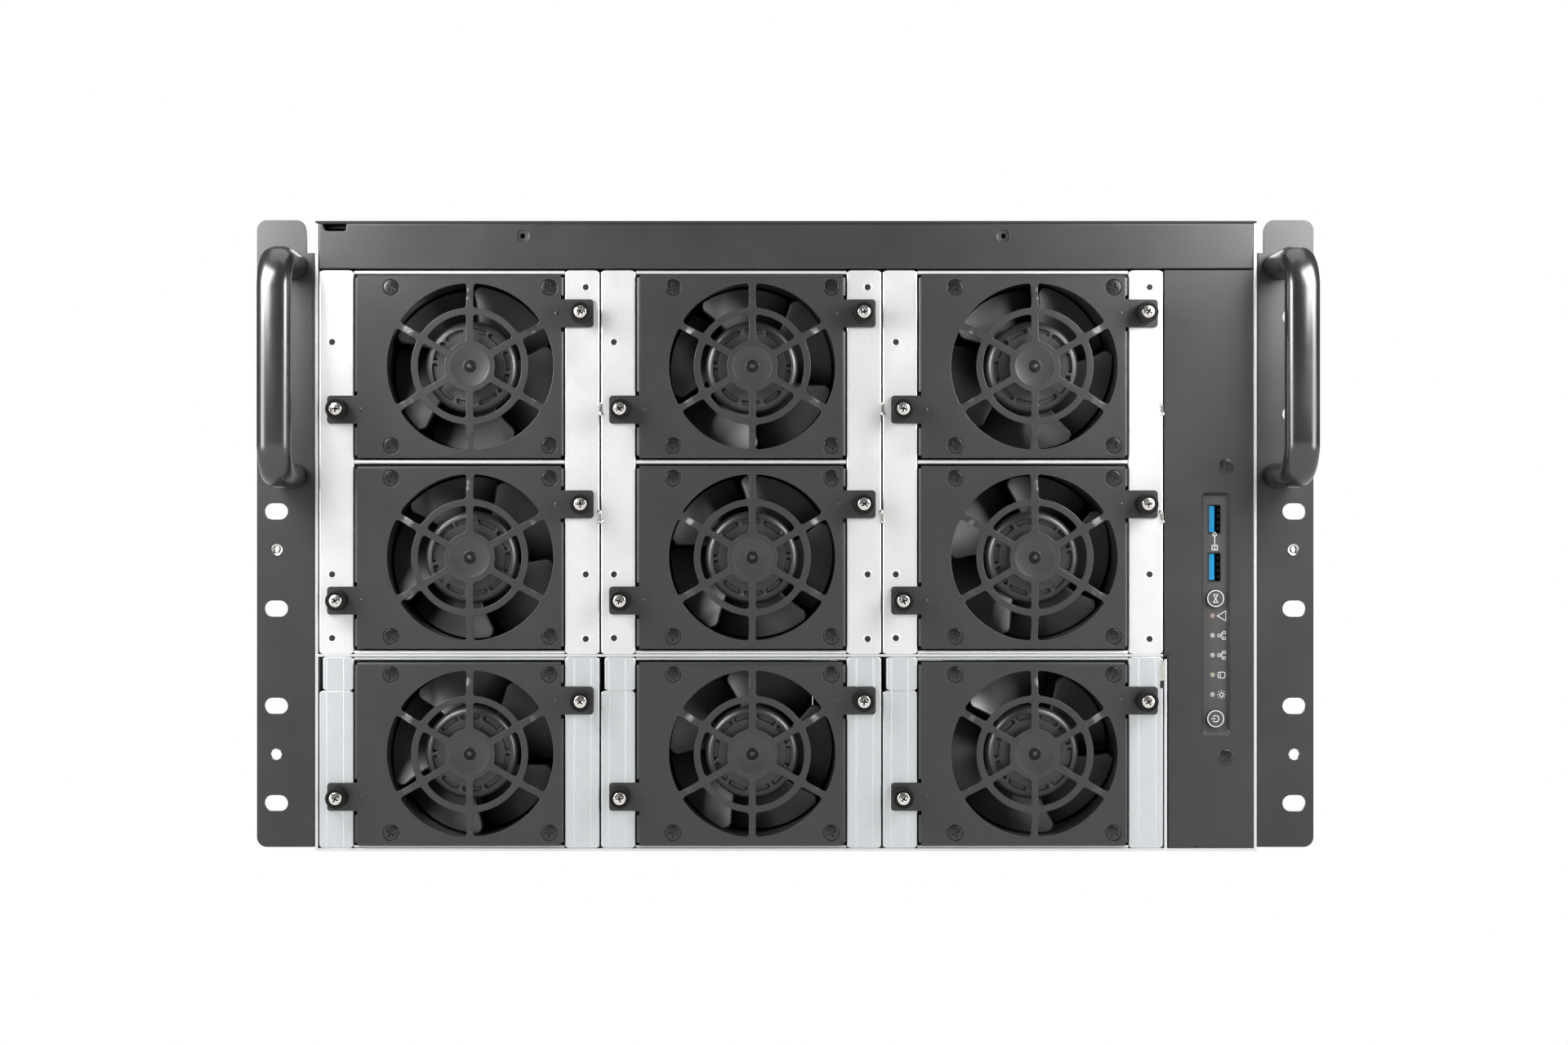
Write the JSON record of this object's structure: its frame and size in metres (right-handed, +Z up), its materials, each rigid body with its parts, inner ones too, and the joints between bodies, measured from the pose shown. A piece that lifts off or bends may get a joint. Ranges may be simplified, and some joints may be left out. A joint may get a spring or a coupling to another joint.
{
  "type": "rack server",
  "caption": "Tall rack-mount server with hot-swap fan modules behind stamped finger guards, slotted ears, carrying handles and a front control panel.",
  "frame": {"origin": "midpoint across the chassis underside, in the plane where the ears meet the rack posts", "axes": "+X to the right seen from the front, +Y from the front to the rear along the chassis, +Z up"},
  "size_m": [0.4826, 0.873, 0.2868],
  "materials": {
    "galvanised": "galvanised sheet, satin",
    "charcoal": "charcoal powder coat, fine grain",
    "satin_black": "satin black",
    "fan_plastic": "moulded black",
    "knob_black": "knurled black",
    "steel": "nickel plated",
    "circuit_board": "solder mask",
    "fins": "extruded",
    "card_shroud": "matt black",
    "button_plastic": "satin moulded",
    "light_pipe": "frosted clear",
    "supply_case": "galvanised"
  },
  "bodies": {
    "chassis": {"chassis_tub": "galvanised", "rear_panel": "galvanised", "front_strip": "charcoal", "fan_shelf": "galvanised", "fan_cages": "galvanised", "ear_left": "charcoal", "ear_right": "charcoal", "handle_left": "satin_black", "handle_right": "satin_black", "handle_screws": "steel", "io_panel": "charcoal", "io_board": "circuit_board", "usb_sockets": "steel", "status_lights": "light_pipe", "motherboard": "circuit_board", "cpu_coolers": "fins", "memory_modules": "circuit_board", "card_board": "circuit_board", "gpu_cards": "card_shroud"},
    "cover": {"top_cover": "charcoal"},
    "reset": {"reset_button": "button_plastic"},
    "power": {"power_button": "button_plastic"},
    "supply_1": {"power_supply_1": "supply_case"},
    "supply_2": {"power_supply_2": "supply_case"},
    "module_1": {"fan_tray_1": "charcoal", "fan_frame_1": "fan_plastic"},
    "impeller_1": {"fan_impeller_1": "fan_plastic"},
    "screws_1": {"thumbscrews_1": "knob_black"},
    "module_2": {"fan_tray_2": "charcoal", "fan_frame_2": "fan_plastic"},
    "impeller_2": {"fan_impeller_2": "fan_plastic"},
    "screws_2": {"thumbscrews_2": "knob_black"},
    "module_3": {"fan_tray_3": "charcoal", "fan_frame_3": "fan_plastic"},
    "impeller_3": {"fan_impeller_3": "fan_plastic"},
    "screws_3": {"thumbscrews_3": "knob_black"},
    "module_4": {"fan_tray_4": "charcoal", "fan_frame_4": "fan_plastic"},
    "impeller_4": {"fan_impeller_4": "fan_plastic"},
    "screws_4": {"thumbscrews_4": "knob_black"},
    "module_5": {"fan_tray_5": "charcoal", "fan_frame_5": "fan_plastic"},
    "impeller_5": {"fan_impeller_5": "fan_plastic"},
    "screws_5": {"thumbscrews_5": "knob_black"},
    "module_6": {"fan_tray_6": "charcoal", "fan_frame_6": "fan_plastic"},
    "impeller_6": {"fan_impeller_6": "fan_plastic"},
    "screws_6": {"thumbscrews_6": "knob_black"},
    "module_7": {"fan_tray_7": "charcoal", "fan_frame_7": "fan_plastic"},
    "impeller_7": {"fan_impeller_7": "fan_plastic"},
    "screws_7": {"thumbscrews_7": "knob_black"},
    "module_8": {"fan_tray_8": "charcoal", "fan_frame_8": "fan_plastic"},
    "impeller_8": {"fan_impeller_8": "fan_plastic"},
    "screws_8": {"thumbscrews_8": "knob_black"},
    "module_9": {"fan_tray_9": "charcoal", "fan_frame_9": "fan_plastic"},
    "impeller_9": {"fan_impeller_9": "fan_plastic"},
    "screws_9": {"thumbscrews_9": "knob_black"}
  },
  "joints": [
    {"name": "cover_slide", "type": "slide", "parent": "chassis", "child": "cover", "axis": [0, 1, 0], "range_m": [0, 0.015]},
    {"name": "reset_press", "type": "slide", "parent": "chassis", "child": "reset", "axis": [0, 1, 0], "range_m": [0, 0.0012], "stiffness_N_per_m": 400, "springref_m": -0.0005},
    {"name": "power_press", "type": "slide", "parent": "chassis", "child": "power", "axis": [0, 1, 0], "range_m": [0, 0.0012], "stiffness_N_per_m": 400, "springref_m": -0.0005},
    {"name": "supply_1_slide", "type": "slide", "parent": "chassis", "child": "supply_1", "axis": [0, 1, 0], "range_m": [0, 0.185]},
    {"name": "supply_2_slide", "type": "slide", "parent": "chassis", "child": "supply_2", "axis": [0, 1, 0], "range_m": [0, 0.185]},
    {"name": "module_1_slide", "type": "slide", "parent": "chassis", "child": "module_1", "axis": [0, -1, 0], "range_m": [0, 0.06]},
    {"name": "impeller_1_spin", "type": "hinge", "parent": "module_1", "child": "impeller_1", "pos_m": [-0.14269, -0.012, 0.2191], "axis": [0, -1, 0], "continuous": true},
    {"name": "screws_1_release", "type": "slide", "parent": "module_1", "child": "screws_1", "axis": [0, -1, 0], "range_m": [0, 0.004]},
    {"name": "module_2_slide", "type": "slide", "parent": "chassis", "child": "module_2", "axis": [0, -1, 0], "range_m": [0, 0.06]},
    {"name": "impeller_2_spin", "type": "hinge", "parent": "module_2", "child": "impeller_2", "pos_m": [-0.01526, -0.012, 0.2191], "axis": [0, -1, 0], "continuous": true},
    {"name": "screws_2_release", "type": "slide", "parent": "module_2", "child": "screws_2", "axis": [0, -1, 0], "range_m": [0, 0.004]},
    {"name": "module_3_slide", "type": "slide", "parent": "chassis", "child": "module_3", "axis": [0, -1, 0], "range_m": [0, 0.06]},
    {"name": "impeller_3_spin", "type": "hinge", "parent": "module_3", "child": "impeller_3", "pos_m": [0.11217, -0.012, 0.2191], "axis": [0, -1, 0], "continuous": true},
    {"name": "screws_3_release", "type": "slide", "parent": "module_3", "child": "screws_3", "axis": [0, -1, 0], "range_m": [0, 0.004]},
    {"name": "module_4_slide", "type": "slide", "parent": "chassis", "child": "module_4", "axis": [0, -1, 0], "range_m": [0, 0.06]},
    {"name": "impeller_4_spin", "type": "hinge", "parent": "module_4", "child": "impeller_4", "pos_m": [-0.14269, -0.012, 0.1328], "axis": [0, -1, 0], "continuous": true},
    {"name": "screws_4_release", "type": "slide", "parent": "module_4", "child": "screws_4", "axis": [0, -1, 0], "range_m": [0, 0.004]},
    {"name": "module_5_slide", "type": "slide", "parent": "chassis", "child": "module_5", "axis": [0, -1, 0], "range_m": [0, 0.06]},
    {"name": "impeller_5_spin", "type": "hinge", "parent": "module_5", "child": "impeller_5", "pos_m": [-0.01526, -0.012, 0.1328], "axis": [0, -1, 0], "continuous": true},
    {"name": "screws_5_release", "type": "slide", "parent": "module_5", "child": "screws_5", "axis": [0, -1, 0], "range_m": [0, 0.004]},
    {"name": "module_6_slide", "type": "slide", "parent": "chassis", "child": "module_6", "axis": [0, -1, 0], "range_m": [0, 0.06]},
    {"name": "impeller_6_spin", "type": "hinge", "parent": "module_6", "child": "impeller_6", "pos_m": [0.11217, -0.012, 0.1328], "axis": [0, -1, 0], "continuous": true},
    {"name": "screws_6_release", "type": "slide", "parent": "module_6", "child": "screws_6", "axis": [0, -1, 0], "range_m": [0, 0.004]},
    {"name": "module_7_slide", "type": "slide", "parent": "chassis", "child": "module_7", "axis": [0, -1, 0], "range_m": [0, 0.06]},
    {"name": "impeller_7_spin", "type": "hinge", "parent": "module_7", "child": "impeller_7", "pos_m": [-0.14269, -0.012, 0.0441], "axis": [0, -1, 0], "continuous": true},
    {"name": "screws_7_release", "type": "slide", "parent": "module_7", "child": "screws_7", "axis": [0, -1, 0], "range_m": [0, 0.004]},
    {"name": "module_8_slide", "type": "slide", "parent": "chassis", "child": "module_8", "axis": [0, -1, 0], "range_m": [0, 0.06]},
    {"name": "impeller_8_spin", "type": "hinge", "parent": "module_8", "child": "impeller_8", "pos_m": [-0.01526, -0.012, 0.0441], "axis": [0, -1, 0], "continuous": true},
    {"name": "screws_8_release", "type": "slide", "parent": "module_8", "child": "screws_8", "axis": [0, -1, 0], "range_m": [0, 0.004]},
    {"name": "module_9_slide", "type": "slide", "parent": "chassis", "child": "module_9", "axis": [0, -1, 0], "range_m": [0, 0.06]},
    {"name": "impeller_9_spin", "type": "hinge", "parent": "module_9", "child": "impeller_9", "pos_m": [0.11217, -0.012, 0.0441], "axis": [0, -1, 0], "continuous": true},
    {"name": "screws_9_release", "type": "slide", "parent": "module_9", "child": "screws_9", "axis": [0, -1, 0], "range_m": [0, 0.004]}
  ]
}
